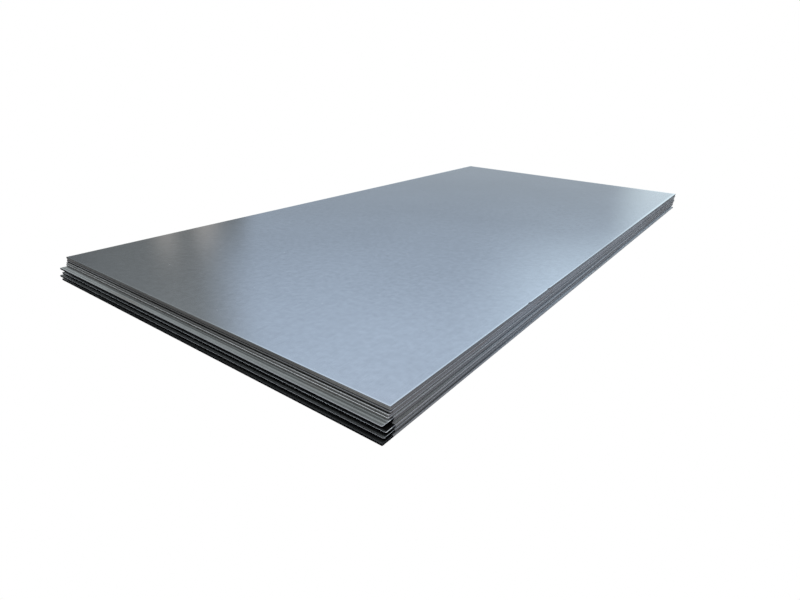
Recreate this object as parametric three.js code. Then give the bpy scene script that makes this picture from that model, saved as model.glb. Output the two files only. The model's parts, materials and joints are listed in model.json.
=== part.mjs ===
// A stack of hot-rolled steel plates, lying flat and slightly out of line, as a stockholder keeps
// them. Every plate is one rolled piece, cut to size on a guillotine shear, and rests face to face
// on the plate below.
//
// Millimetres, +Z up. The long sides run along Y and the front short sides face -Y. The origin is
// the middle of the stack's footprint, on the floor.

import * as THREE from 'three';
import { mergeVertices } from 'three/addons/utils/BufferGeometryUtils.js';

// The plate as it is sold
const PLATE_WIDTH = 1250;
const PLATE_LENGTH = 2500;
const PLATE_THICKNESS = 5;

// The sheared edge, from the top face down: the blade rolls the arris over, rubs a bright upright
// land, and then the rest tears off on a slope that leans in under the plate.
const ROLLOVER_DEPTH = 0.6;
const ROLLOVER_WIDTH = 1.8;
const ROLLOVER_STEPS = 5;
const LAND_SHARE = 0.4;
const TEAR_LEAN = 0.35;

// The corners are barely rounded. This is the radius of the flat top face, inside the rollover.
const FLAT_CORNER_RADIUS = 0.6;
const CORNER_STEPS = 3;

// Bruises along the right long side of the top plate, where a lifting clamp bit into the arris
const BRUISE_DEPTH = 2.2;
const BRUISE_LENGTH = 22;
const BRUISES_FROM_FRONT = [602, 733];

// How each plate lies, from the top one down. The front right corner is out of line by `right`
// and `back`, the plate is turned about that corner by `turn` degrees, and it was cut `wider`
// than the nominal width, or narrower where that is negative.
const LAY = [
  { right: 0, back: 0, turn: 0 },
  { right: -0.8, back: 1.5, turn: 0.02 },
  { right: 0.6, back: -0.6, turn: 0 },
  { right: -0.4, back: -4.5, turn: 0.01, wider: -5 },
  { right: 0.2, back: -7, turn: 0.02, wider: -7 },
  { right: 3.2, back: -27.4, turn: 0.02, wider: -9 },
  { right: 1.4, back: 1, turn: 0.03 },
  { right: -1, back: 2, turn: -0.04 },
  { right: 7, back: -21, turn: 0.15, wider: -4 },
  { right: -1, back: 1, turn: 0 },
  { right: 6.3, back: -25.8, turn: 0.15, wider: 3 },
  { right: -2, back: 3, turn: 0 },
  { right: -2.4, back: 3.5, turn: 0.03 },
  { right: 2.3, back: -24.7, turn: -0.08, wider: 7 },
];

const STEEL_COLOUR = 0x9aa7b6;
const STEEL_ROUGHNESS = 0.42;
const STEEL_METALNESS = 0.9;

// The plate's outline seen from above, with its front right corner at the origin. It runs
// counterclockwise, and each bruise is a shallow bay in the right long side.
function plateOutline(width, bruises) {
  const r = ROLLOVER_WIDTH + FLAT_CORNER_RADIUS;
  const outline = new THREE.Shape();
  outline.moveTo(-r, 0);
  outline.absarc(-r, r, r, -Math.PI / 2, 0, false);
  for (const fromFront of bruises) {
    outline.lineTo(0, fromFront - BRUISE_LENGTH / 2);
    outline.quadraticCurveTo(-2 * BRUISE_DEPTH, fromFront, 0, fromFront + BRUISE_LENGTH / 2);
  }
  outline.absarc(-r, PLATE_LENGTH - r, r, 0, Math.PI / 2, false);
  outline.absarc(r - width, PLATE_LENGTH - r, r, Math.PI / 2, Math.PI, false);
  outline.absarc(r - width, r, r, Math.PI, 1.5 * Math.PI, false);
  const points = outline.getPoints(CORNER_STEPS);
  return points.filter((point, i) => i === 0 || point.distanceTo(points[i - 1]) > 1e-6);
}

// The edge's section as { inset, height } pairs, from the underside up to the top face. The
// rollover is a quarter of an ellipse, wider than it is deep.
function shearedSection() {
  const landTop = PLATE_THICKNESS - ROLLOVER_DEPTH;
  const landBottom = landTop - LAND_SHARE * PLATE_THICKNESS;
  const section = [
    { inset: TEAR_LEAN, height: 0 },
    { inset: 0, height: landBottom },
  ];
  for (let step = 0; step <= ROLLOVER_STEPS; step++) {
    const angle = (step / ROLLOVER_STEPS) * (Math.PI / 2);
    section.push({
      inset: ROLLOVER_WIDTH * (1 - Math.cos(angle)),
      height: landTop + ROLLOVER_DEPTH * Math.sin(angle),
    });
  }
  return section;
}

// Each outline point moved in square to the outline by `inset`, mitred at its own corner
function insetOutline(points, inset) {
  return points.map((point, i) => {
    const before = points[(i + points.length - 1) % points.length];
    const after = points[(i + 1) % points.length];
    const arriving = point.clone().sub(before).normalize();
    const leaving = after.clone().sub(point).normalize();
    const inward = new THREE.Vector2(-arriving.y - leaving.y, arriving.x + leaving.x).normalize();
    const mitre = inset / inward.dot(new THREE.Vector2(-arriving.y, arriving.x));
    return point.clone().addScaledVector(inward, mitre);
  });
}

// A closed plate: the section's rings lofted round the outline, and a cap on each face
function loftPlate(outline, section) {
  const count = outline.length;
  const rings = section.map(({ inset }) => insetOutline(outline, inset));
  const positions = rings.flatMap((ring, level) =>
    ring.flatMap((point) => [point.x, point.y, section[level].height]));
  const faces = [];
  for (let level = 0; level < rings.length - 1; level++) {
    for (let i = 0; i < count; i++) {
      const low = level * count + i;
      const lowNext = level * count + ((i + 1) % count);
      faces.push(low, lowNext, lowNext + count);
      faces.push(low, lowNext + count, low + count);
    }
  }
  const topStart = (rings.length - 1) * count;
  for (const [a, b, c] of THREE.ShapeUtils.triangulateShape(outline, [])) {
    faces.push(a, c, b);
    faces.push(topStart + a, topStart + b, topStart + c);
  }
  const geometry = new THREE.BufferGeometry();
  geometry.setAttribute('position', new THREE.Float32BufferAttribute(positions, 3));
  geometry.setIndex(faces);
  return mergeVertices(geometry);
}

function steel() {
  return new THREE.MeshStandardMaterial({
    color: STEEL_COLOUR,
    roughness: STEEL_ROUGHNESS,
    metalness: STEEL_METALNESS,
  });
}

// One plate of the stack, hung from its front right corner, `level` plates below the top one
function layPlate(level) {
  const { right, back, turn, wider = 0 } = LAY[level];
  const bruises = level === 0 ? BRUISES_FROM_FRONT : [];
  const outline = plateOutline(PLATE_WIDTH + wider, bruises);
  const plate = new THREE.Mesh(loftPlate(outline, shearedSection()), steel());
  plate.name = `plate_${String(level + 1).padStart(2, '0')}`;
  const platesBelow = LAY.length - 1 - level;
  plate.position.set(
    PLATE_WIDTH / 2 + right,
    -PLATE_LENGTH / 2 + back,
    platesBelow * PLATE_THICKNESS,
  );
  plate.rotation.z = THREE.MathUtils.degToRad(turn);
  return plate;
}

const stack = new THREE.Group();
for (let level = 0; level < LAY.length; level++) {
  stack.add(layPlate(level));
}

// The footprint's middle goes to the origin.
const middle = new THREE.Box3().setFromObject(stack, true).getCenter(new THREE.Vector3());
stack.position.set(-middle.x, -middle.y, 0);

export default stack;
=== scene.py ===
"""A pile of sheared steel plates, dressed in mill finish on its fixed frame, in a plain white studio.

Metres, +Z up. The long sides run along Y and the front short sides face -Y. Every dressed plate
keeps the place and size of the node that it stands for.
"""
import json
import math
import random

import bmesh
import bpy
from mathutils import Matrix, Vector

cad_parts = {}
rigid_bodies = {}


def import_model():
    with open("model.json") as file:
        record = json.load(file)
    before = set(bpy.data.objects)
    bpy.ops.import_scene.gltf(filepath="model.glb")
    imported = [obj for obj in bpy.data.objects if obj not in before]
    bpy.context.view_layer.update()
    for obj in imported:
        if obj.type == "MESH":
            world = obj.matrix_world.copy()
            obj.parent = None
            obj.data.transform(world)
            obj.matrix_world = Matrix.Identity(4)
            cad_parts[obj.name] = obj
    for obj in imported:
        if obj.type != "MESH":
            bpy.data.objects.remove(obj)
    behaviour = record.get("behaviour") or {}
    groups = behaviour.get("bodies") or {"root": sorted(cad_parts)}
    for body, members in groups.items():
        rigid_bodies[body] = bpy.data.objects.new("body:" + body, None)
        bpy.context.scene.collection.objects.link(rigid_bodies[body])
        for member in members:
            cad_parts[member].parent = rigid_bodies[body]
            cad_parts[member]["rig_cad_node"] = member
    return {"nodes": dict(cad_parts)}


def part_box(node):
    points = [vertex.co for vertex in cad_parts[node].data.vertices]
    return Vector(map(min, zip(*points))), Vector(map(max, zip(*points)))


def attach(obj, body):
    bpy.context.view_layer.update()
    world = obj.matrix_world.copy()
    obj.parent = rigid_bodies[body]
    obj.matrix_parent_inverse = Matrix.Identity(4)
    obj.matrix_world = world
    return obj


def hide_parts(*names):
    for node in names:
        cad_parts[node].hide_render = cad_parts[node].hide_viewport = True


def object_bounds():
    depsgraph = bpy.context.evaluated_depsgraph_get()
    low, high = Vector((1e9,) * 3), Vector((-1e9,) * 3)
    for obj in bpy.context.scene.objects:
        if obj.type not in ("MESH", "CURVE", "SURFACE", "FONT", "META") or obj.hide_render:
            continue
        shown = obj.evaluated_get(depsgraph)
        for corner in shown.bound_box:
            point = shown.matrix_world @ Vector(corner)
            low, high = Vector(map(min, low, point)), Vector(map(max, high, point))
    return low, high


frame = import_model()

bl_info = {
    "name": "Steel plate pile",
    "version": (1, 0, 0),
    "blender": (4, 5, 0),
    "location": "View3D > Sidebar > Plate pile",
    "description": "Dresses a pile of sheared steel plates and sets up its studio",
    "category": "Object",
}

MM = 0.001
NODES = sorted(frame["nodes"])
TOP_NODE = NODES[0]
CAD_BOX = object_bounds()
TOP_LOW, TOP_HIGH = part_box(TOP_NODE)
THICKNESS = TOP_HIGH.z - TOP_LOW.z

# The sheared edge's torn part ends at this share of the thickness, from the underside up.
TORN_TOP = 0.48


# ---------------------------------------------------------------------------------------------
# Places on the pile

# Distances before the top plate's front, or its back: what shows of the plates at an end lies
# beyond END_REACH.
END_REACH = -8 * MM
# How far the painted shade reaches out of the corner at the back of a ledge, and the painted shadow
# on the foot of the plate that stands there
SHADE_DEPTH = 5 * MM
FOOT_REACH = (1.5 * MM, 3.2 * MM)
# A ledge whose arris stands this far out at the front is rubbed smooth and carries a painted
# highlight, and the narrow ones carry the most of it.
PROUD_REACH = 2 * MM
NARROW_REACH = 10 * MM
# The outer part of the wide ledges, where the painted shade of the shelter is lighter
OUTER_REACH = (14 * MM, 25 * MM)

# Places along the front, from its left to its right: the ledges at the left corner get painted light
# and less painted shade, the highest narrow ledge is darker in the middle, and the upper plates'
# edges get painted light at the right.
LIT_CORNER = (-0.6, -0.2)
LIT_CORNER_REACH = (4 * MM, 12 * MM)
DARK_MIDDLE = (0.1, 0.5)
LIT_RIGHT = (0.3, 0.6)

# Stretches of the long sides, from the front to the back: darker and warmer at the front corner, and
# with a painted shade towards the back. The plates between the heights of MIDDLE_PLATES get that
# painted shade most, the lower ones more than the higher ones.
FRONT_STRETCH = (-1.25, -0.7)
BACK_STRETCH = (0.3, 1.1)
MIDDLE_PLATES = (24.5 * MM, 60 * MM)

# Heights: the plates at the front lie sheltered below the face of the widest ledge.
SHELTER_FADE = (44 * MM, 44.6 * MM)
# The painted shadow on the foot of the lowest plate above the ledges at the front, from its softly
# starting underside up
GAP_FADE = (54.9 * MM, 55 * MM)
GAP_TOP = 57.3 * MM
# The face of the highest plate that makes a ledge at the front, less a hair
HIGH_LEDGE = 54 * MM
# The foot of the upper plates, whose edges at the front get painted light at the right and painted
# shade at the left
UPPER_FOOT = 61.3 * MM
# The painted highlight on the arrises at the front is brighter the higher they are, up to this, and
# the painted shade on the low ones in the shelter darker the lower they are.
LIT_TOP = 34 * MM
# The lowest ledge of the long sides, which gets more painted light the further back it is
LOW_LEDGE = 7 * MM
LOW_LIGHT_STRETCH = (-0.95, -0.3)


# ---------------------------------------------------------------------------------------------
# Settings


class PlateSettings(bpy.types.PropertyGroup):
    """How finely a plate's sheared edge is worked, and how rough the shear left it."""

    facet: bpy.props.FloatProperty(
        name="Facet length", description="Longest facet along a sheared edge",
        default=8 * MM, min=2 * MM, unit="LENGTH")
    torn_depth: bpy.props.FloatProperty(
        name="Torn depth", description="How deep the fracture is torn into the edge",
        default=0.12 * MM, min=0, unit="LENGTH")
    land_wander: bpy.props.FloatProperty(
        name="Land wander", description="How far the lower edge of the bright land wanders",
        default=0.5 * MM, min=0, unit="LENGTH")
    knocks: bpy.props.IntProperty(
        name="Knocks", description="Dents that handling left along each plate's edges",
        default=10, min=0)
    knock_depth: bpy.props.FloatProperty(
        name="Knock depth", description="How deep the deepest knock is",
        default=0.7 * MM, min=0, unit="LENGTH")
    knock_reach: bpy.props.FloatProperty(
        name="Knock reach", description="How far a knock spreads along the edge",
        default=16 * MM, min=1 * MM, unit="LENGTH")


class FinishSettings(bpy.types.PropertyGroup):
    """The colours and gloss of the rolled faces and of the sheared edges."""

    face_colour: bpy.props.FloatVectorProperty(
        name="Rolled face", description="Mill finish of the faces",
        subtype="COLOR", size=3, min=0, max=1, default=(0.41, 0.455, 0.545))
    face_roughness: bpy.props.FloatProperty(
        name="Face roughness", description="Gloss of the oiled mill finish",
        default=0.16, min=0, max=1, subtype="FACTOR")
    grazing_tint: bpy.props.FloatProperty(
        name="Grazing tint", description="How much of its shine the steel keeps at a flat angle",
        default=0.5, min=0, max=1, subtype="FACTOR")
    # Rubbing and a painted highlight in one: the colour of the top face's rim
    rubbed_and_highlit_colour: bpy.props.FloatVectorProperty(
        name="Rubbed rim", description="The rim of the top face, which handling rubs bright",
        subtype="COLOR", size=3, min=0, max=1, default=(0.66, 0.74, 0.84))
    # The colour of the painted highlight on the proud arrises of the ledges
    arris_highlight_colour: bpy.props.FloatVectorProperty(
        name="Arris", description="The rolled arris, which handling rubs bright",
        subtype="COLOR", size=3, min=0, max=1, default=(0.74, 0.78, 0.82))
    dust_colour: bpy.props.FloatVectorProperty(
        name="Dust", description="Grey dust on the ledges that stand proud",
        subtype="COLOR", size=3, min=0, max=1, default=(0.22, 0.243, 0.25))
    # Also the colour of the painted shade and shadow on the ledges and edges at the front
    grime_and_shade_colour: bpy.props.FloatVectorProperty(
        name="Grime", description="Dark dirt in the joints and at the back of the ledges",
        subtype="COLOR", size=3, min=0, max=1, default=(0.004, 0.004, 0.0045))
    rust_colour: bpy.props.FloatVectorProperty(
        name="Rust", description="Thin rust on the ledges and the cut edges",
        subtype="COLOR", size=3, min=0, max=1, default=(0.16, 0.10, 0.06))
    land_colour: bpy.props.FloatVectorProperty(
        name="Land", description="The part of the edge that the blade rubbed bright",
        subtype="COLOR", size=3, min=0, max=1, default=(0.275, 0.297, 0.343))
    torn_colour: bpy.props.FloatVectorProperty(
        name="Torn edge", description="The part of the edge that broke away",
        subtype="COLOR", size=3, min=0, max=1, default=(0.214, 0.231, 0.267))


class StudioSettings(bpy.types.PropertyGroup):
    """The white studio's floor, lamps and camera."""

    floor_colour: bpy.props.FloatVectorProperty(
        name="Floor", description="Plain pale floor",
        subtype="COLOR", size=3, min=0, max=1, default=(0.93, 0.93, 0.93))
    sky_strength: bpy.props.FloatProperty(
        name="Sky", description="Even light from all round", default=0.6, min=0)
    key_strength: bpy.props.FloatProperty(
        name="Key", description="Soft sun over the right long side", default=1.0, min=0)
    fill_strength: bpy.props.FloatProperty(
        name="Fill", description="Softer sun over the left long side", default=0.4, min=0)
    lens: bpy.props.FloatProperty(
        name="Lens", description="Focal length on a 36 mm wide sensor, in millimetres",
        default=23.508, min=1)


# ---------------------------------------------------------------------------------------------
# Shader maths


class Value:
    """A socket of a shader tree that Python's own operators can do sums with."""

    def __init__(self, shader, socket):
        self.shader = shader
        self.socket = socket

    def maths(self, operation, *values):
        inputs = dict(enumerate(values))
        return self.shader.node("ShaderNodeMath", {"operation": operation}, inputs)[0]

    def __add__(self, other):
        return self.maths("ADD", self, other)

    def __radd__(self, other):
        return self.maths("ADD", other, self)

    def __sub__(self, other):
        return self.maths("SUBTRACT", self, other)

    def __rsub__(self, other):
        return self.maths("SUBTRACT", other, self)

    def __mul__(self, other):
        return self.maths("MULTIPLY", self, other)

    def __rmul__(self, other):
        return self.maths("MULTIPLY", other, self)

    def __truediv__(self, other):
        return self.maths("DIVIDE", self, other)

    def __gt__(self, other):
        return self.maths("GREATER_THAN", self, other)

    def __lt__(self, other):
        return self.maths("LESS_THAN", self, other)

    def highest(self, other):
        return self.maths("MAXIMUM", self, other)

    def lowest(self, other):
        return self.maths("MINIMUM", self, other)

    def fraction(self):
        return self.maths("FRACT", self)

    def whole(self):
        return self.maths("FLOOR", self)

    def rise(self, start, end):
        """0 before start, 1 after end, and a smooth step between them."""
        settings = {"interpolation_type": "SMOOTHSTEP"}
        inputs = {"Value": self, "From Min": start, "From Max": end}
        return self.shader.node("ShaderNodeMapRange", settings, inputs)["Result"]


class Outputs:
    """A node's outputs as values, by number or by name."""

    def __init__(self, shader, node):
        self.shader = shader
        self.node = node

    def __getitem__(self, key):
        return Value(self.shader, self.node.outputs[key])


class Shader:
    """The node tree of a material or a world, empty at first."""

    def __init__(self, owner):
        owner.use_nodes = True
        self.owner = owner
        self.tree = owner.node_tree
        self.tree.nodes.clear()

    def node(self, kind, settings=None, inputs=None):
        """Adds a node: its settings first, then the numbers or the links of its sockets."""
        node = self.tree.nodes.new(kind)
        for name, setting in (settings or {}).items():
            setattr(node, name, setting)
        for key, value in (inputs or {}).items():
            if isinstance(value, Value):
                self.tree.links.new(value.socket, node.inputs[key])
            else:
                node.inputs[key].default_value = value
        return Outputs(self, node)

    def ramp(self, factor, places, colours):
        """A colour for each place from 0 to 1, straight between those given."""
        outputs = self.node("ShaderNodeValToRGB", {}, {"Fac": factor})
        elements = outputs.node.color_ramp.elements
        while len(elements) < len(places):
            elements.new(1)
        for element, place, colour in zip(elements, places, colours):
            element.position = place
            element.color = opaque(colour)
        return outputs["Color"]

    def mix(self, factor, first, second, blend="MIX"):
        """One colour over the other, by a factor."""
        settings = {"data_type": "RGBA", "blend_type": blend}
        # Inputs 6 and 7 and output 2 are the ones for colours.
        inputs = {0: factor, 6: opaque(first), 7: opaque(second)}
        return self.node("ShaderNodeMix", settings, inputs)[2]

    def tinted(self, colour, tint):
        """One colour times another."""
        return self.mix(1.0, colour, tint, "MULTIPLY")

    def scaled(self, colour, factor, shares):
        """The colour, as light as the first share says where the factor is 0, and as the second
        one says where it is 1."""
        low, high = shares
        return self.tinted(colour, self.mix(factor, grey(low), grey(high)))

    def place(self):
        """Where a point lies in the object, in metres."""
        return self.node("ShaderNodeTexCoord")["Object"]

    def normal(self):
        """The X, Y and Z of the surface's normal."""
        return self.axes(self.node("ShaderNodeNewGeometry")["Normal"])

    def axes(self, vector):
        """The X, Y and Z of a vector, each by its name."""
        return self.node("ShaderNodeSeparateXYZ", {}, {0: vector})

    def stretched(self, place, scale):
        """The place with its X, Y and Z multiplied by scale."""
        return self.node("ShaderNodeVectorMath", {"operation": "MULTIPLY"}, {0: place, 1: scale})[0]

    def noise(self, place, scale, detail=2.0, roughness=0.5):
        """Cloudy noise round 0.5."""
        inputs = {"Vector": place, "Scale": scale, "Detail": detail, "Roughness": roughness}
        return self.node("ShaderNodeTexNoise", {}, inputs)["Fac"]

    def streaks(self, place, scale, detail=2.0, roughness=0.5):
        """Noise that has a scale of its own along each of X, Y and Z."""
        return self.noise(self.stretched(place, scale), 1.0, detail, roughness)

    def bump(self, strength, distance, height):
        """The normal as the height bends it."""
        inputs = {"Strength": strength, "Distance": distance, "Height": height}
        return self.node("ShaderNodeBump", {}, inputs)["Normal"]

    def output(self, kind, inputs):
        """Ends the tree in a shader of this kind, and gives back what the tree belongs to."""
        is_world = isinstance(self.owner, bpy.types.World)
        end = "ShaderNodeOutputWorld" if is_world else "ShaderNodeOutputMaterial"
        self.node(end, {}, {"Surface": self.node(kind, {}, inputs)[0]})
        return self.owner


def new_shader(name):
    return Shader(bpy.data.materials.new(name))


def opaque(colour):
    """Three numbers with the alpha that a socket asks for, or a linked colour as it is."""
    return colour if isinstance(colour, Value) else (*colour, 1)


def grey(level):
    return (level, level, level)


def shaded(colour, share):
    """The colour made darker by a share."""
    return [channel * share for channel in colour]


def weighted(start, patterns, weights):
    """The start, plus each pattern that has a weight times that weight."""
    total = start
    for name, weight in weights.items():
        total = total + patterns[name] * weight
    return total


# ---------------------------------------------------------------------------------------------
# The top face
#
# A noise is named by its scale, or one for each of X, Y and Z, its detail and its roughness.
# Levels say between which values of a noise its pattern sets in and is there in full.

CLOUDS = (2.6, 3.0)
MOTTLE = (60.0, 4.0, 0.6)
GRAIN = ((420, 14, 1), 2.0)
SCUFF_LINES = ((260, 9, 1), 2.0, 0.6)
SCUFF_LEVELS = (0.68, 0.76)
SCUFF_PATCHES = (2.2, 2.0)
PATCH_LEVELS = (0.5, 0.68)
# Grains of dust: the scale of the cells that one can lie in, how far it reaches in its cell, and
# the share of the cells that have none
SPECK_CELLS = 42.0
SPECK_SIZE = (0.02, 0.07)
SPECKLESS = 0.95

# How strongly each pattern shows in the face's tone, dulls it and stands out of it
FACE_TONE = {"clouds": 0.9, "mottle": 1.6, "grain": 0.9}
FACE_DULLING = {"clouds": 0.03, "mottle": 0.03, "scuffs": 0.04, "dust": 0.3, "arris": 0.2}
FACE_RELIEF = {"mottle": 0.3, "grain": 0.1, "scuffs": -0.2, "dust": 1.0}
# A bump is its strength and its distance.
FACE_BUMP = (0.15, 0.02 * MM)
# The tone's darkest and lightest
FACE_SHADES = (0.92, 1.08)
SCUFF_COLOUR = (0.62, 0.68, 0.74)
SCUFF_SHARE = 0.15
SPECK_COLOUR = (0.7, 0.74, 0.78)
SPECK_SHARE = 0.5
# A painted shade on the top face's rolled arris: how light the arris is, against the land
ARRIS_PAINTED_SHADE = 0.25

# Where the surface's upright part falls below this, the flat face has turned into the arris.
ARRIS_LEAN = 0.99
LEDGE_ARRIS_LEAN = 0.999
ARRIS_FADE = 0.02

# How far in from its edges the top face is rubbed bright and carries a painted highlight, at the
# front and at the back
RIM_RUB_AND_LIGHT_REACH = (6 * MM, 16 * MM)
# How strongly it is rubbed and highlit there
RIM_RUB_AND_LIGHT_SHARE = (0.6, 1.0)
# The stretch along Y between the two
RIM_RUB_AND_LIGHT_STRETCH = (TOP_LOW.y / 3, TOP_HIGH.y)
# The shares of its reach between which it fades
RIM_RUB_AND_LIGHT_FADE = (0.3, 1)


def scratches(steel, place):
    """Fine straight scuffs that slipping plates drew, mostly along the rolling direction."""
    lines = steel.streaks(place, *SCUFF_LINES)
    patches = steel.noise(place, *SCUFF_PATCHES)
    return lines.rise(*SCUFF_LEVELS) * patches.rise(*PATCH_LEVELS)


def specks(steel, place):
    """Small grains of dust, a few millimetres across."""
    inputs = {"Vector": place, "Scale": SPECK_CELLS}
    cells = steel.node("ShaderNodeTexVoronoi", {"feature": "F1"}, inputs)
    chosen = steel.node("ShaderNodeSeparateColor", {}, {"Color": cells["Color"]})["Red"]
    near = 1 - cells["Distance"].rise(*SPECK_SIZE)
    return near * (chosen > SPECKLESS)


def arris_mask(steel, lean):
    """1 on the rolled arris and 0 on the flat face, by how far the surface leans over."""
    return 1 - steel.normal()["Z"].rise(lean - ARRIS_FADE, lean)


def rubbed_and_highlit_rim(steel, place):
    """How far handling has rubbed the rim of the top face bright, with a painted highlight on it as
    well. It reaches further in, and is stronger, towards the back."""
    axes = steel.axes(place)
    across = (axes["X"] - TOP_LOW.x).lowest(TOP_HIGH.x - axes["X"])
    along = (axes["Y"] - TOP_LOW.y).lowest(TOP_HIGH.y - axes["Y"])
    back = axes["Y"].rise(*RIM_RUB_AND_LIGHT_STRETCH)
    reach = RIM_RUB_AND_LIGHT_REACH[0] + back * (RIM_RUB_AND_LIGHT_REACH[1] - RIM_RUB_AND_LIGHT_REACH[0])
    share = RIM_RUB_AND_LIGHT_SHARE[0] + back * (RIM_RUB_AND_LIGHT_SHARE[1] - RIM_RUB_AND_LIGHT_SHARE[0])
    return share * (1 - (across.lowest(along) / reach).rise(*RIM_RUB_AND_LIGHT_FADE))


def face_patterns(steel, place):
    """What varies over the top face: noise round 0, and the rest from 0 to 1."""
    return {
        "clouds": steel.noise(place, *CLOUDS) - 0.5,
        "mottle": steel.noise(place, *MOTTLE) - 0.5,
        "grain": steel.streaks(place, *GRAIN) - 0.5,
        "scuffs": scratches(steel, place),
        "dust": specks(steel, place),
        "arris": arris_mask(steel, ARRIS_LEAN),
    }


def rolled_steel(finish):
    """The top face: blue-grey and satin, clouded, with a faint grain along the plate."""
    steel = new_shader("rolled_steel")
    place = steel.place()
    patterns = face_patterns(steel, place)
    tone = weighted(0.5, patterns, FACE_TONE)
    colour = steel.scaled(finish.face_colour, tone, FACE_SHADES)
    colour = steel.mix(patterns["scuffs"] * SCUFF_SHARE, colour, SCUFF_COLOUR)
    colour = steel.mix(patterns["dust"] * SPECK_SHARE, colour, SPECK_COLOUR)
    # The rim of the top face: rubbed bright, and a painted highlight
    colour = steel.mix(rubbed_and_highlit_rim(steel, place), colour, finish.rubbed_and_highlit_colour)
    # Painted shade on the top face's rolled arris
    colour = steel.mix(patterns["arris"], colour, shaded(finish.land_colour, ARRIS_PAINTED_SHADE))
    return steel.output("ShaderNodeBsdfPrincipled", {
        "Base Color": colour,
        "Metallic": 1.0,
        "Roughness": weighted(finish.face_roughness, patterns, FACE_DULLING),
        "Specular Tint": opaque(grey(finish.grazing_tint)),
        "Normal": steel.bump(*FACE_BUMP, weighted(0, patterns, FACE_RELIEF)),
    })


# ---------------------------------------------------------------------------------------------
# What the ledges and the edges share

# The long sides' tint at the front corner, between the corners, and at the back, where it is a
# painted shade
FRONT_TINT = (0.88, 0.82, 0.76)
SIDE_TINT = (1.04, 1.06, 1.09)
BACK_SHADE_TINT = (0.35, 0.35, 0.36)
# How far every plate takes on the painted shade of the back, where the middle ones do in full
BACK_SHADE_SHARE = 0.25


def before_front(axes):
    """How far out before the top plate's front a place is."""
    return TOP_LOW.y - axes["Y"]


def at_front(axes):
    """1 on what shows of the plates at the front, and 0 along the long sides."""
    return before_front(axes) > END_REACH


def at_ends(axes):
    """1 on what shows at the front and at the back."""
    return at_front(axes).highest(axes["Y"] - TOP_HIGH.y > END_REACH)


def sheltered(axes):
    """1 on the lower plates at the front, below the widest ledge and in its shadow."""
    return at_front(axes) * (1 - axes["Z"].rise(*SHELTER_FADE))


def along_side(shader, axes):
    """The tint of the long sides, which changes along them, with a painted shade towards the back."""
    middle = (axes["Z"] > MIDDLE_PLATES[0]) * (1 - axes["Z"].rise(*MIDDLE_PLATES))
    # Painted shade towards the back of the long sides
    back = axes["Y"].rise(*BACK_STRETCH) * (BACK_SHADE_SHARE + middle * (1 - BACK_SHADE_SHARE))
    tint = shader.mix(axes["Y"].rise(*FRONT_STRETCH), FRONT_TINT, SIDE_TINT)
    return shader.mix(back, tint, BACK_SHADE_TINT)


# ---------------------------------------------------------------------------------------------
# The ledges

# Each plate's face lies at its own height, and this sets the patterns of the faces far apart.
LEDGE_STRETCH = (1, 1, 40)
LEDGE_MOTTLE = (34.0, 4.0, 0.6)
# Patterns drawn out along the ledges, with their scales across the ledges and along them
DUST_STREAKS = (300, 0.5, 1.0, 0.6)
STREAK_LEVELS = (0.42, 0.60)
DUST_STAINS = (60, 3, 3.0)
STAIN_LEVELS = (0.55, 0.7)
STAIN_RUST = 0.3

# How the dust's tone follows the mottle, and the tone's darkest and lightest
DUST_MOTTLE = 0.4
DUST_SHADES = (0.62, 1.5)
# Painted light on the dust of the long sides, and how much more of it there is low down and in the
# corner at the left of the front
SIDE_DUST_LIGHT = (1.14, 1.18, 1.26)
LOW_LIGHT_SHARES = (1, 2.4)
CORNER_LIGHT_SHARES = (1, 1.4)

# How dark the painted shade is: at the back of the ledges, on the foot of the plate that stands
# there, in the shelter and how much less in its outer part, and on the arrises down there; and how
# much the middle of the highest narrow ledge is darkened
BACK_SHADE = 0.6
FOOT_SHADE = 0.95
SHELTER_SHADE = 0.99
OUTER_LIGHTER = 0.56
LOW_ARRIS_SHADE = 0.8
MIDDLE_DARKENING = 0.75
# How bright the painted highlight is on the arrises that don't get it in full
ARRIS_HIGHLIGHT_SHARE = 0.3

LEDGE_BUMP = (0.2, 0.05 * MM)
LEDGE_METAL = 0.4
LEDGE_ROUGHNESS = 0.5
LEDGE_DULLING = {"mottle": 0.1, "proud": -0.15}
LEDGE_SPECULAR = 0.2


def drawn_out(steel, own, across, along, detail, roughness=0.5):
    """Noise drawn out along the ledges: along X at the ends and along Y at the long sides."""
    ends = at_ends(steel.axes(own))
    end_noise = steel.streaks(own, (along, across, 1), detail, roughness)
    side_noise = steel.streaks(own, (across, along, 1), detail, roughness)
    return ends * end_noise + (1 - ends) * side_noise


def ledge_dust(steel, finish, own, mottle, axes):
    """Dust in streaks, thinly rusted, with painted light on the long sides, most of all low down
    towards the back, and in the corner at the left of the front."""
    streaks = drawn_out(steel, own, *DUST_STREAKS)
    stain = drawn_out(steel, own, *DUST_STAINS)
    front = at_front(axes)
    # Painted light on the ledges of the long sides, low down at the back, and at the left corner of
    # the front
    low_back_light = (axes["Z"] < LOW_LEDGE) * axes["Y"].rise(*LOW_LIGHT_STRETCH) * (1 - front)
    corner = before_front(axes).rise(*LIT_CORNER_REACH) * (1 - axes["X"].rise(*LIT_CORNER))
    tone = streaks.rise(*STREAK_LEVELS) + mottle * DUST_MOTTLE
    side = steel.tinted(SIDE_DUST_LIGHT, along_side(steel, axes))
    colour = steel.scaled(finish.dust_colour, tone, DUST_SHADES)
    colour = steel.tinted(colour, steel.mix(front, side, grey(1)))
    colour = steel.scaled(colour, low_back_light, LOW_LIGHT_SHARES)
    colour = steel.scaled(colour, corner, CORNER_LIGHT_SHARES)
    return steel.mix(stain.rise(*STAIN_LEVELS) * STAIN_RUST, colour, finish.rust_colour)


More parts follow.
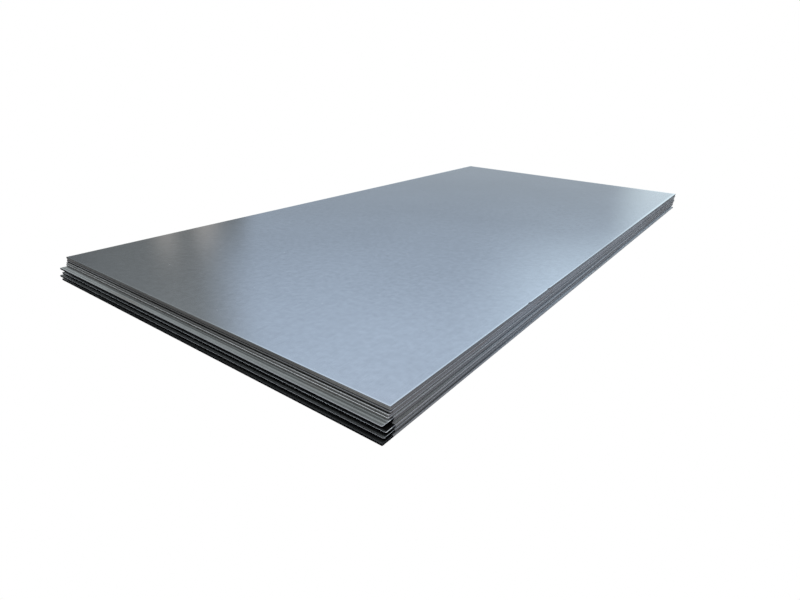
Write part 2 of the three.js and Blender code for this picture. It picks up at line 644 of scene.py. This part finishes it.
def ledge_shade(out, mottle, axes):
    """The painted shade on the ledges at the front: at the back of each, and in the shelter."""
    deep = 1 - (out - mottle * SHADE_DEPTH).rise(0, SHADE_DEPTH)
    deep = deep * axes["X"].rise(*LIT_CORNER)
    foot = 1 - out.rise(*FOOT_REACH)
    back = at_front(axes) * (deep * BACK_SHADE).highest(foot * FOOT_SHADE)
    shelter = sheltered(axes) * (SHELTER_SHADE - out.rise(*OUTER_REACH) * OUTER_LIGHTER)
    return back, shelter


def darkened_middle(axes):
    """1 on the highest narrow ledge at the front, in the middle of its length."""
    middle = 1 - axes["X"].highest(-1 * axes["X"]).rise(*DARK_MIDDLE)
    return at_front(axes) * (axes["Z"] > HIGH_LEDGE) * middle


def ledge_arris(steel, finish, colour, axes, arris, proud):
    """The ledges' arrises: a painted highlight where they stand proud, stronger the higher they are,
    and painted shade low down in the shelter.
    """
    lit = axes["Z"].rise(0, LIT_TOP)
    full_highlight = sheltered(axes).highest(before_front(axes) < NARROW_REACH)
    # Painted highlight on the proud arrises
    proud_highlight = proud * lit * (ARRIS_HIGHLIGHT_SHARE + full_highlight * (1 - ARRIS_HIGHLIGHT_SHARE))
    # Painted shade on the low arrises in the shelter
    arris_shade = arris * sheltered(axes) * (1 - lit) * LOW_ARRIS_SHADE
    colour = steel.mix(arris, colour, finish.land_colour)
    colour = steel.mix(proud_highlight, colour, finish.arris_highlight_colour)
    return steel.mix(arris_shade, colour, finish.grime_and_shade_colour)


def ledge_steel(finish):
    """The lower plates' faces, where only the ledges show: dusty, with streaks along them, and with
    painted shade towards the back."""
    steel = new_shader("ledge_steel")
    place = steel.place()
    axes = steel.axes(place)
    out = before_front(axes)
    own = steel.stretched(place, LEDGE_STRETCH)
    mottle = steel.noise(own, *LEDGE_MOTTLE) - 0.5
    arris = arris_mask(steel, LEDGE_ARRIS_LEAN)
    proud = arris * (out > PROUD_REACH)

    colour = ledge_dust(steel, finish, own, mottle, axes)
    # Painted shade at the back of the ledges and in the shelter
    for grime in ledge_shade(out, mottle, axes):
        colour = steel.mix(grime, colour, finish.grime_and_shade_colour)
    colour = ledge_arris(steel, finish, colour, axes, arris, proud)
    # The highest narrow ledge, darker in the middle of its length
    colour = steel.mix(darkened_middle(axes) * MIDDLE_DARKENING, colour, finish.grime_and_shade_colour)
    patterns = {"mottle": mottle, "proud": proud}
    return steel.output("ShaderNodeBsdfPrincipled", {
        "Base Color": colour,
        "Metallic": LEDGE_METAL + proud * (1 - LEDGE_METAL),
        "Roughness": weighted(LEDGE_ROUGHNESS, patterns, LEDGE_DULLING),
        "Specular IOR Level": LEDGE_SPECULAR,
        "Normal": steel.bump(*LEDGE_BUMP, mottle),
    })


# ---------------------------------------------------------------------------------------------
# The sheared edges

EDGE_WANDER = ((30, 30, 1800), 2.0)
EDGE_LINES = ((0.7, 0.7, 160), 5.0, 0.7)
EDGE_TEARS = ((140, 140, 260), 3.0, 0.6)
EDGE_STAINS = ((5, 5, 40), 3.0, 0.6)
RUST_LEVELS = (0.5, 0.75)
EDGE_RUST = 0.35
# How far the land's lower border wanders and how softly it ends, as shares of the thickness
WANDER_SHARE = 0.2
LAND_FADE = 0.04
# Added to the height, counted in plates, so that an underside is the foot of its own plate
HAIR = 0.001

# How strongly the lines show, and the darkest and the lightest of them
LINE_CONTRAST = 3.6
LINE_SHARES = (0.72, 1.28)
LINE_RELIEF = 0.3
# How much darker the plates' edges are, each by its own share of this, and how dark the darkest
TONE_SPREAD = 0.75
DARK_SHADE = 0.35
# Picks which plates' edges are the darker ones. It was picked among many, so that they are the
# ones that are darker on the real pile.
TONE_SEED = 55922
# Grime: how far up the plate it fades out of the joint, as shares of the thickness; and painted
# shade: between which upright parts of the normal it gathers where the edge rolls over
JOINT_FADE = (0.05, 0.15)
JOINT_GRIME = 0.3
ROLLED_LEAN = (0.05, 0.5)
ROLLED_SHADE = 0.7
# The painted shadow in the gap at the foot of the lowest plate above the ledges
GAP_SHADE = 0.9
# The painted shade and light on the upper plates' edges at the front, at the left and at the right,
# and the tint of both ends
UPPER_LIGHT_SHARES = (0.68, 1.4)
END_TINT = (1.12, 1.05, 0.90)
# The square of the normal's Y on a surface that faces halfway between X and Y
HALFWAY = 0.5

EDGE_BUMP = (0.1, 0.05 * MM)
EDGE_METAL = 0.5
EDGE_ROUGHNESS = 0.32
EDGE_DULLING = {"torn": 0.1, "grime": 0.3}
# How much of their shine the edges keep at a flat angle
EDGE_GRAZING = 0.2
EDGE_SPECULAR = 0.1


def plate_tone(edge, level):
    """How much darker than the others a plate's edge is."""
    settings = {"noise_dimensions": "1D"}
    noise = edge.node("ShaderNodeTexWhiteNoise", settings, {"W": level.whole() + TONE_SEED})
    return noise["Value"] * TONE_SPREAD


def edge_shade(axes):
    """1 where the edges at the front are painted black with shade: in the shelter, and with a painted
    shadow at the foot of the lowest plate above the ledges."""
    gap = at_front(axes) * axes["Z"].rise(*GAP_FADE) * (axes["Z"] < GAP_TOP)
    return sheltered(axes).highest(gap * GAP_SHADE)


def side_and_end_tint(edge, axes, normal):
    """How the edges' tint changes along the long sides, with painted shade towards the back, and
    along the front, with painted shade and light on the upper plates.
    """
    at_end = normal["Y"] * normal["Y"] > HALFWAY
    upper = at_front(axes) * (axes["Z"] > UPPER_FOOT) * at_end
    left, right = (grey(share) for share in UPPER_LIGHT_SHARES)
    # Painted light and shade along the front's upper edges
    front_light = edge.mix(axes["X"].rise(*LIT_RIGHT), left, right)
    sides = edge.mix(at_end, along_side(edge, axes), END_TINT)
    return edge.tinted(edge.mix(upper, grey(1), front_light), sides)


def edge_colour(edge, finish, place, level, height, torn, lines):
    """The land and the fracture, each plate in its own tone, with lines, rust, grime in the joints,
    and painted shade where the edge rolls over.
    """
    stain = edge.streaks(place, *EDGE_STAINS)
    joint = 1 - height.rise(*JOINT_FADE)
    normal = edge.normal()
    contrast = 0.5 + (lines - 0.5) * LINE_CONTRAST
    colour = edge.mix(torn, finish.land_colour, finish.torn_colour)
    colour = edge.scaled(colour, contrast, LINE_SHARES)
    colour = edge.mix(stain.rise(*RUST_LEVELS) * EDGE_RUST, colour, finish.rust_colour)
    colour = edge.mix(plate_tone(edge, level), colour, shaded(finish.torn_colour, DARK_SHADE))
    colour = edge.mix(joint * JOINT_GRIME, colour, finish.grime_and_shade_colour)
    # Painted shade where the edge's normal leans up, under the arris
    rolled_shade = normal["Z"].rise(*ROLLED_LEAN) * ROLLED_SHADE
    colour = edge.mix(rolled_shade, colour, finish.grime_and_shade_colour)
    return edge.tinted(colour, side_and_end_tint(edge, edge.axes(place), normal))


def sheared_edge(finish):
    """The cut edge: a bright rubbed land above, a darker torn fracture below it, and fine lines
    that handling drew along both."""
    edge = new_shader("sheared_edge")
    place = edge.place()
    axes = edge.axes(place)
    level = axes["Z"] / THICKNESS + HAIR
    wander = edge.streaks(place, *EDGE_WANDER) - 0.5
    height = level.fraction() - wander * WANDER_SHARE
    torn = 1 - height.rise(TORN_TOP - LAND_FADE, TORN_TOP + LAND_FADE)
    lines = edge.streaks(place, *EDGE_LINES)
    tears = edge.streaks(place, *EDGE_TEARS)
    # Painted shade on the edges in the shelter, and a painted shadow in the gap at the front
    grime = edge_shade(axes)

    colour = edge_colour(edge, finish, place, level, height, torn, lines)
    patterns = {"torn": torn, "grime": grime}
    return edge.output("ShaderNodeBsdfPrincipled", {
        "Base Color": edge.mix(grime, colour, finish.grime_and_shade_colour),
        "Metallic": EDGE_METAL + grime * (1 - EDGE_METAL),
        "Roughness": weighted(EDGE_ROUGHNESS, patterns, EDGE_DULLING),
        "Specular Tint": opaque(grey(EDGE_GRAZING)),
        "Specular IOR Level": EDGE_SPECULAR,
        "Normal": edge.bump(*EDGE_BUMP, tears * torn + lines * LINE_RELIEF),
    })


# ---------------------------------------------------------------------------------------------
# Modelling

# Vertices nearer than this are joined, and faces that turn less than this, in degrees, are one.
JOIN_DISTANCE = 0.001 * MM
FLAT_TURN = 0.2
# An edge is upright when it climbs more than this share of its length.
UPRIGHT_CLIMB = 0.7
# Upright edges lower than this are of the torn part, and longer ones than this of the land, both
# as shares of the thickness. The torn part gets this many cuts.
TORN_ROWS_TOP = 0.45
LAND_ROW = 0.3
TORN_CUTS = 3
# The tears stop this far below the land. The land's lower border wanders, and what lies between
# these shares of the thickness goes with it.
TORN_HEM = 0.1 * MM
LAND_BAND = (0.2, 0.6)
TEAR_SIZE = 7 * MM
WANDER_SIZE = 30 * MM
CLOUD_DEPTH = 3
# The shares of the full reach, and of the root of the full depth, that a knock may have
KNOCK_REACHES = (0.3, 1.0)
KNOCK_DEPTHS = (0.2, 1.0)
# A face is of the cut edge when its normal climbs less than this.
EDGE_CLIMB = 0.6
# Arrises that turn less than this, in degrees, are smooth.
SMOOTH_TURN = 35


def deselect_all():
    bpy.ops.object.select_all(action="DESELECT")


def copy_of_node(node, name):
    """A new piece with the node's shape, its loose triangles joined and its flat faces whole."""
    deselect_all()
    original = frame["nodes"][node]
    original.select_set(True)
    bpy.context.view_layer.objects.active = original
    bpy.ops.object.duplicate()
    piece = bpy.context.active_object
    piece.name = piece.data.name = name
    piece.parent = None
    del piece["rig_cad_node"]
    bpy.ops.object.mode_set(mode="EDIT")
    bpy.ops.mesh.select_all(action="SELECT")
    bpy.ops.mesh.remove_doubles(threshold=JOIN_DISTANCE)
    bpy.ops.mesh.dissolve_limited(angle_limit=math.radians(FLAT_TURN))
    bpy.ops.mesh.select_all(action="DESELECT")
    bpy.ops.object.mode_set(mode="OBJECT")
    return piece


def select_edges(piece, wanted):
    """Selects the edges for which wanted(edge) holds, in edit mode, and says how many."""
    bpy.ops.mesh.select_mode(type="EDGE")
    mesh = bmesh.from_edit_mesh(piece.data)
    for edge in mesh.edges:
        edge.select_set(False)
    chosen = [edge for edge in mesh.edges if wanted(edge)]
    for edge in chosen:
        edge.select_set(True)
    bmesh.update_edit_mesh(piece.data)
    return len(chosen)


def select_faces(piece, wanted):
    """Selects the faces for which wanted(face) holds, in edit mode."""
    bpy.ops.mesh.select_mode(type="FACE")
    mesh = bmesh.from_edit_mesh(piece.data)
    for face in mesh.faces:
        face.select_set(False)
    for face in mesh.faces:
        if wanted(face):
            face.select_set(True)
    bmesh.update_edit_mesh(piece.data)


def cut_rows(piece, bottom):
    """Cuts the torn zone and the land of the edge into rows, one above the other."""
    torn_top = bottom + TORN_ROWS_TOP * THICKNESS
    land_row = LAND_ROW * THICKNESS
    select_edges(piece, lambda edge: is_upright(edge) and edge_middle(edge).z < torn_top)
    bpy.ops.mesh.subdivide(number_cuts=TORN_CUTS)
    select_edges(piece, lambda edge: is_upright(edge) and edge.calc_length() > land_row)
    bpy.ops.mesh.subdivide(number_cuts=1)


def is_upright(edge):
    low, high = sorted(vert.co.z for vert in edge.verts)
    return high - low > UPRIGHT_CLIMB * edge.calc_length()


def edge_middle(edge):
    return (edge.verts[0].co + edge.verts[1].co) / 2


def halve_long_edges(piece, longest):
    """Halves what runs along the sides until nothing there is longer than one facet."""
    while select_edges(
            piece, lambda edge: edge.calc_length() > longest and not is_upright(edge)):
        bpy.ops.mesh.subdivide(number_cuts=1)


def edge_group(piece, name, weight):
    """A vertex group that holds each vertex as far as weight(co) says."""
    group = piece.vertex_groups.new(name=name)
    for vertex in piece.data.vertices:
        share = weight(vertex.co)
        if share > 0:
            group.add([vertex.index], share, "REPLACE")
    return group


def cloud_texture(name, size):
    texture = bpy.data.textures.new(name, "CLOUDS")
    texture.noise_scale = size
    texture.noise_depth = CLOUD_DEPTH
    return texture


def displace(piece, group, direction, strength, mid_level, texture=None):
    """Moves the group's vertices in or out by a texture, and applies it."""
    modifier = piece.modifiers.new(group.name, "DISPLACE")
    modifier.vertex_group = group.name
    modifier.direction = direction
    modifier.strength = strength
    modifier.mid_level = mid_level
    if texture:
        modifier.texture = texture
        modifier.texture_coords = "LOCAL"
    bpy.ops.object.modifier_apply(modifier=modifier.name)


def knock_places(low, high, count, dice):
    """Seeded places along the top arris of all four sides."""
    width, length = high.x - low.x, high.y - low.y
    places = []
    for _ in range(count):
        along = dice.uniform(0, 2 * (width + length))
        if along < 2 * length:
            x = low.x if along < length else high.x
            y = low.y + along % length
        else:
            y = low.y if along < 2 * length + width else high.y
            x = low.x + (along - 2 * length) % width
        places.append(Vector((x, y, high.z)))
    return places


def rough_edge(piece, low, high, settings, dice):
    """Tears the fracture, lets the land's lower edge wander, and knocks the arris."""
    tear_top = low.z + TORN_TOP * THICKNESS - TORN_HEM
    torn = edge_group(piece, "torn", lambda co: 1.0 if co.z < tear_top else 0.0)
    displace(piece, torn, "NORMAL", settings.torn_depth,
             mid_level=1.0, texture=cloud_texture("tears", TEAR_SIZE))

    band_low, band_high = (low.z + share * THICKNESS for share in LAND_BAND)
    land = edge_group(piece, "land", lambda co: 1.0 if band_low < co.z < band_high else 0.0)
    displace(piece, land, "Z", settings.land_wander,
             mid_level=0.5, texture=cloud_texture("wander", WANDER_SIZE))

    knocks = knock_places(low, high, settings.knocks, dice)
    reaches = [settings.knock_reach * dice.uniform(*KNOCK_REACHES) for _ in knocks]
    depths = [dice.uniform(*KNOCK_DEPTHS) ** 2 for _ in knocks]

    def knocked(co):
        shares = (depth * max(0, 1 - (co - knock).length / reach) ** 2
                  for knock, reach, depth in zip(knocks, reaches, depths))
        return max(shares, default=0)

    bruised = edge_group(piece, "knocks", knocked)
    displace(piece, bruised, "NORMAL", -settings.knock_depth, mid_level=0.0)


def give_finishes(piece, face_finish, edge_finish):
    """Rolled steel on the faces and on the arris that rolled over, and the cut edge elsewhere."""
    piece.data.materials.clear()
    piece.data.materials.append(face_finish)
    piece.data.materials.append(edge_finish)
    bpy.ops.object.mode_set(mode="EDIT")
    select_faces(piece, lambda face: abs(face.normal.z) < EDGE_CLIMB)
    piece.active_material_index = 1
    bpy.ops.object.material_slot_assign()
    bpy.ops.mesh.select_all(action="DESELECT")
    bpy.ops.object.mode_set(mode="OBJECT")


def smooth(piece):
    """Smooth arrises, with normals that keep the large faces flat."""
    bpy.ops.object.shade_smooth_by_angle(angle=math.radians(SMOOTH_TURN))
    modifier = piece.modifiers.new("flat faces", "WEIGHTED_NORMAL")
    modifier.mode = "FACE_AREA"
    modifier.keep_sharp = True
    bpy.ops.object.modifier_apply(modifier=modifier.name)


def dress_plate(node, settings, face_finish, edge_finish):
    """One plate: the node's own shape, with its cut edge worked as a shear leaves it."""
    low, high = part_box(node)
    piece = copy_of_node(node, node.replace("plate", "sheared_plate"))
    bpy.ops.object.mode_set(mode="EDIT")
    cut_rows(piece, low.z)
    halve_long_edges(piece, settings.facet)
    bpy.ops.object.mode_set(mode="OBJECT")
    rough_edge(piece, low, high, settings, random.Random(node))
    give_finishes(piece, face_finish, edge_finish)
    smooth(piece)
    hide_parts(node)
    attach(piece, "root")
    return piece


class PLATEPILE_OT_plates(bpy.types.Operator):
    """Replaces each plate of the frame by one with worked edges and mill finish"""

    bl_idname = "platepile.plates"
    bl_label = "Dress the plates"

    def execute(self, context):
        scene = context.scene
        top_face = rolled_steel(scene.plate_finish)
        ledge = ledge_steel(scene.plate_finish)
        edge = sheared_edge(scene.plate_finish)
        for node in NODES:
            face = top_face if node == TOP_NODE else ledge
            dress_plate(node, scene.plate_edges, face, edge)
        deselect_all()
        return {"FINISHED"}


# ---------------------------------------------------------------------------------------------
# Studio

# What the steel mirrors: a plain wall far round the pile, seen by reflections alone. It is white,
# with a few lights on it: open sky, haze, shade, deep shade and the dim yard. Each takes over from
# the one before it. It gives the azimuths, in degrees from +Y towards -X, at which that starts, is
# done low down and is done higher up, and the light itself.
WALL_RADIUS = 60
WALL_SIDES = 180
WALL_LIGHTS = (
    (-60, -40, -40, (1.8, 2.0, 2.0)),
    (9, 14, 30, (0.95, 1.05, 1.1)),
    (53, 55, 60, (0.45, 0.45, 0.4)),
    (66, 80, 80, (0.2, 0.2, 0.2)),
    (112, 120, 120, (0.6, 0.6, 0.6)),
)
# Two narrow lamps low down in the shade: their azimuths, how far each reaches, and their light
LAMPS = (58, 62)
LAMP_REACH = 2
LAMP_LIGHT = (1.3, 1.15, 0.95)
# How far, in degrees, the borders of the lights wander from upright lines, and by what noise
WALL_WANDER = 3.0
WALL_NOISE = (0.12, 2.0)
# The elevations, in degrees, between which the borders go from low down to higher up and the
# lamps fade out, and between which the lights give way to plain white
WALL_CHANGE = (14, 19)
WALL_FADE = (33, 42)

# The overhead bank's near edge runs along Y, so its mirror image runs along the plate. It lies on
# a line that leans to the left by a slope, and starts near the eye's own mirror image: from this X
# and this depth below the top face.
BANK_HEIGHT = 3.0
MIRROR_SLOPE = 0.9927
MIRROR_X, MIRROR_DEPTH = 1.092, 0.546
BANK_EDGE = MIRROR_X - MIRROR_SLOPE * (BANK_HEIGHT + MIRROR_DEPTH)
# The bank's right, front and back
BANK_REACH = (8.0, -8.0, 12.0)
BANK_LIGHT = (1.45, 1.45, 1.42)

# The shade overhead, behind and to the left, that the front arris mirrors at its far end, with
# its left, front, right and back
SHADE_HEIGHT = 4.0
SHADE_REACH = (-9.0, -9.0, -2.8, 1.0)
SHADE_LIGHT = (0.30, 0.30, 0.30)

# The yard's dark ground in front of the pile, seen by reflections alone: its far corner, and its
# gap to the pile and to the floor
APRON_CORNER = (-4, -6)
APRON_GAP = 1 * MM
APRON_LIGHT = (0.30, 0.30, 0.29)

FLOOR_REACH = 90
# The floor's own glow, which makes it as white as the world where nothing shades it
FLOOR_LIFT = 0.12

# The suns' directions and their size in the sky, in degrees
KEY_SUN = {"azimuth": -70, "elevation": 50, "softness": 60}
FILL_SUN = {"azimuth": 110, "elevation": 60, "softness": 80}

# The camera stands this far from the middle of the top face, and looks this way.
CAMERA_OFFSET = Vector((1.08666, -1.87105, 0.53947))
CAMERA_AZIMUTH = 35.822
CAMERA_DIP = 23.288
CAMERA_ROLL = 1.798
SENSOR_WIDTH = 36
VIEW_REACH = 300


def direction(azimuth, elevation):
    """A unit vector, from degrees: azimuth turns from +Y towards -X."""
    a, e = math.radians(azimuth), math.radians(elevation)
    return Vector((-math.sin(a) * math.cos(e), math.cos(a) * math.cos(e), math.sin(e)))


def reflections_only(card, material):
    """A card of the studio that lights nothing, and shows in reflections alone."""
    card.data.materials.append(material)
    card.visible_camera = False
    card.visible_diffuse = False
    card.visible_shadow = False
    card.visible_transmission = False


def add_plane(name, low, high, z):
    """A level rectangle from its low corner to its high corner."""
    deselect_all()
    middle = ((low[0] + high[0]) / 2, (low[1] + high[1]) / 2, z)
    bpy.ops.mesh.primitive_plane_add(size=1, location=middle,
                                     scale=(high[0] - low[0], high[1] - low[1], 1))
    bpy.ops.object.transform_apply(location=True, rotation=True, scale=True)
    plane = bpy.context.active_object
    plane.name = name
    return plane


def glow(name, colour):
    return new_shader(name).output("ShaderNodeEmission", {"Color": opaque(colour)})


def wall_height(elevation):
    """How high up the wall the pile sees this elevation, in metres."""
    return WALL_RADIUS * math.tan(math.radians(elevation))


def wall_material():
    """The wall's lights, which give way to plain white at the top."""
    wall = new_shader("studio_wall")
    place = wall.place()
    axes = wall.axes(place)
    turn = axes["X"].maths("ARCTAN2", -1 * axes["X"], axes["Y"])
    wander = (wall.noise(place, *WALL_NOISE) - 0.5) * WALL_WANDER
    azimuth = turn * math.degrees(1) + wander
    change, fade = (axes["Z"].rise(*map(wall_height, span)) for span in (WALL_CHANGE, WALL_FADE))
    colour = grey(1)
    for start, low_end, high_end, light in WALL_LIGHTS:
        low, high = azimuth.rise(start, low_end), azimuth.rise(start, high_end)
        colour = wall.mix(low + change * (high - low), colour, light)
    for middle in LAMPS:
        past = azimuth.rise(middle, middle + LAMP_REACH)
        lamp = azimuth.rise(middle - LAMP_REACH, middle) * (1 - past) * (1 - change)
        colour = wall.mix(lamp, colour, LAMP_LIGHT)
    colour = wall.mix(fade, colour, grey(1))
    return wall.output("ShaderNodeEmission", {"Color": colour})


def build_wall():
    """A far ring round the pile."""
    deselect_all()
    height = wall_height(WALL_FADE[1])
    bpy.ops.mesh.primitive_cylinder_add(vertices=WALL_SIDES, radius=WALL_RADIUS, depth=height,
                                        end_fill_type="NOTHING", location=(0, 0, height / 2))
    bpy.ops.object.transform_apply(location=True, rotation=True, scale=True)
    wall = bpy.context.active_object
    wall.name = "studio_wall"
    reflections_only(wall, wall_material())


def build_cards():
    """The bank and the shade overhead, and the dark apron in front."""
    right, front, back = BANK_REACH
    bank = add_plane("overhead_bank", (BANK_EDGE, front), (right, back), TOP_HIGH.z + BANK_HEIGHT)
    reflections_only(bank, glow("bank_light", BANK_LIGHT))
    left, front, right, back = SHADE_REACH
    shade = add_plane("overhead_shade", (left, front), (right, back), TOP_HIGH.z + SHADE_HEIGHT)
    reflections_only(shade, glow("shade_light", SHADE_LIGHT))
    low, high = CAD_BOX
    apron = add_plane("dark_apron", APRON_CORNER, (high[0], low[1] - APRON_GAP), APRON_GAP)
    reflections_only(apron, glow("apron_light", APRON_LIGHT))


def mirrored_or_seen(shader):
    """1 for what the camera, a reflection or a see-through surface looks at, and 0 for light."""
    path = shader.node("ShaderNodeLightPath")
    seen = path["Is Camera Ray"].highest(path["Is Glossy Ray"])
    return seen.highest(path["Is Transmission Ray"])


def build_floor(settings):
    """A plain pale floor that runs out of sight. Where nothing shades it, it is as white as the
    world round it."""
    floor = add_plane("floor", (-FLOOR_REACH, -FLOOR_REACH), (FLOOR_REACH, FLOOR_REACH), 0)
    pale = new_shader("floor")
    lift = mirrored_or_seen(pale) * FLOOR_LIFT
    floor.data.materials.append(pale.output("ShaderNodeBsdfPrincipled", {
        "Base Color": opaque(settings.floor_colour),
        "Roughness": 1.0,
        "Specular IOR Level": 0.0,
        "Emission Color": pale.mix(lift, grey(0), grey(1)),
        "Emission Strength": 1.0,
    }))


def build_world(settings):
    """Even light from all round, and plain white where it is looked at."""
    world = bpy.data.worlds.new("studio")
    bpy.context.scene.world = world
    sky = Shader(world)
    light, white = (
        sky.node("ShaderNodeBackground", {}, {"Color": opaque(grey(1)), "Strength": strength})
        for strength in (settings.sky_strength, 1.0)
    )
    sky.output("ShaderNodeMixShader", {0: mirrored_or_seen(sky), 1: light[0], 2: white[0]})


def add_sun(name, strength, azimuth, elevation, softness):
    """A soft sun that shows in no reflection."""
    deselect_all()
    bpy.ops.object.light_add(type="SUN")
    sun = bpy.context.active_object
    sun.name = name
    sun.data.energy = strength
    sun.data.angle = math.radians(softness)
    sun.rotation_mode = "QUATERNION"
    sun.rotation_quaternion = direction(azimuth, elevation).to_track_quat("Z", "Y")
    sun.visible_glossy = False


def add_camera(settings):
    """The camera over the near corner, looking along the pile and down on it."""
    deselect_all()
    bpy.ops.object.camera_add()
    camera = bpy.context.active_object
    forward = direction(CAMERA_AZIMUTH, -CAMERA_DIP)
    level = forward.cross(Vector((0, 0, 1))).normalized()
    roll = Matrix.Rotation(math.radians(-CAMERA_ROLL), 3, forward)
    right = roll @ level
    up = right.cross(forward)
    middle = (TOP_LOW + TOP_HIGH) / 2
    middle.z = TOP_HIGH.z
    camera.matrix_world = (
        Matrix.Translation(middle + CAMERA_OFFSET)
        @ Matrix((right, up, -forward)).transposed().to_4x4()
    )
    camera.data.sensor_width = SENSOR_WIDTH
    camera.data.lens = settings.lens
    camera.data.clip_end = VIEW_REACH
    bpy.context.scene.camera = camera


class PLATEPILE_OT_studio(bpy.types.Operator):
    """Adds the pale floor, the soft lamps, what the steel mirrors, and the camera"""

    bl_idname = "platepile.studio"
    bl_label = "Set up the studio"

    def execute(self, context):
        studio = context.scene.plate_studio
        build_floor(studio)
        build_world(studio)
        build_wall()
        build_cards()
        add_sun("key_sun", studio.key_strength, **KEY_SUN)
        add_sun("fill_sun", studio.fill_strength, **FILL_SUN)
        add_camera(studio)
        context.scene.view_settings.view_transform = "Standard"
        return {"FINISHED"}


class PLATEPILE_PT_panel(bpy.types.Panel):
    """Lists the steps that dress the pile"""

    bl_label = "Plate pile"
    bl_idname = "PLATEPILE_PT_panel"
    bl_space_type = "VIEW_3D"
    bl_region_type = "UI"
    bl_category = "Plate pile"

    def draw(self, context):
        for operator in (PLATEPILE_OT_plates, PLATEPILE_OT_studio):
            self.layout.operator(operator.bl_idname)


CLASSES = (
    PlateSettings,
    FinishSettings,
    StudioSettings,
    PLATEPILE_OT_plates,
    PLATEPILE_OT_studio,
    PLATEPILE_PT_panel,
)


def register():
    for cls in CLASSES:
        bpy.utils.register_class(cls)
    bpy.types.Scene.plate_edges = bpy.props.PointerProperty(type=PlateSettings)
    bpy.types.Scene.plate_finish = bpy.props.PointerProperty(type=FinishSettings)
    bpy.types.Scene.plate_studio = bpy.props.PointerProperty(type=StudioSettings)


def unregister():
    del bpy.types.Scene.plate_edges
    del bpy.types.Scene.plate_finish
    del bpy.types.Scene.plate_studio
    for cls in reversed(CLASSES):
        bpy.utils.unregister_class(cls)


def main():
    register()
    bpy.ops.platepile.plates()
    bpy.ops.platepile.studio()


if __name__ == "__main__":
    main()
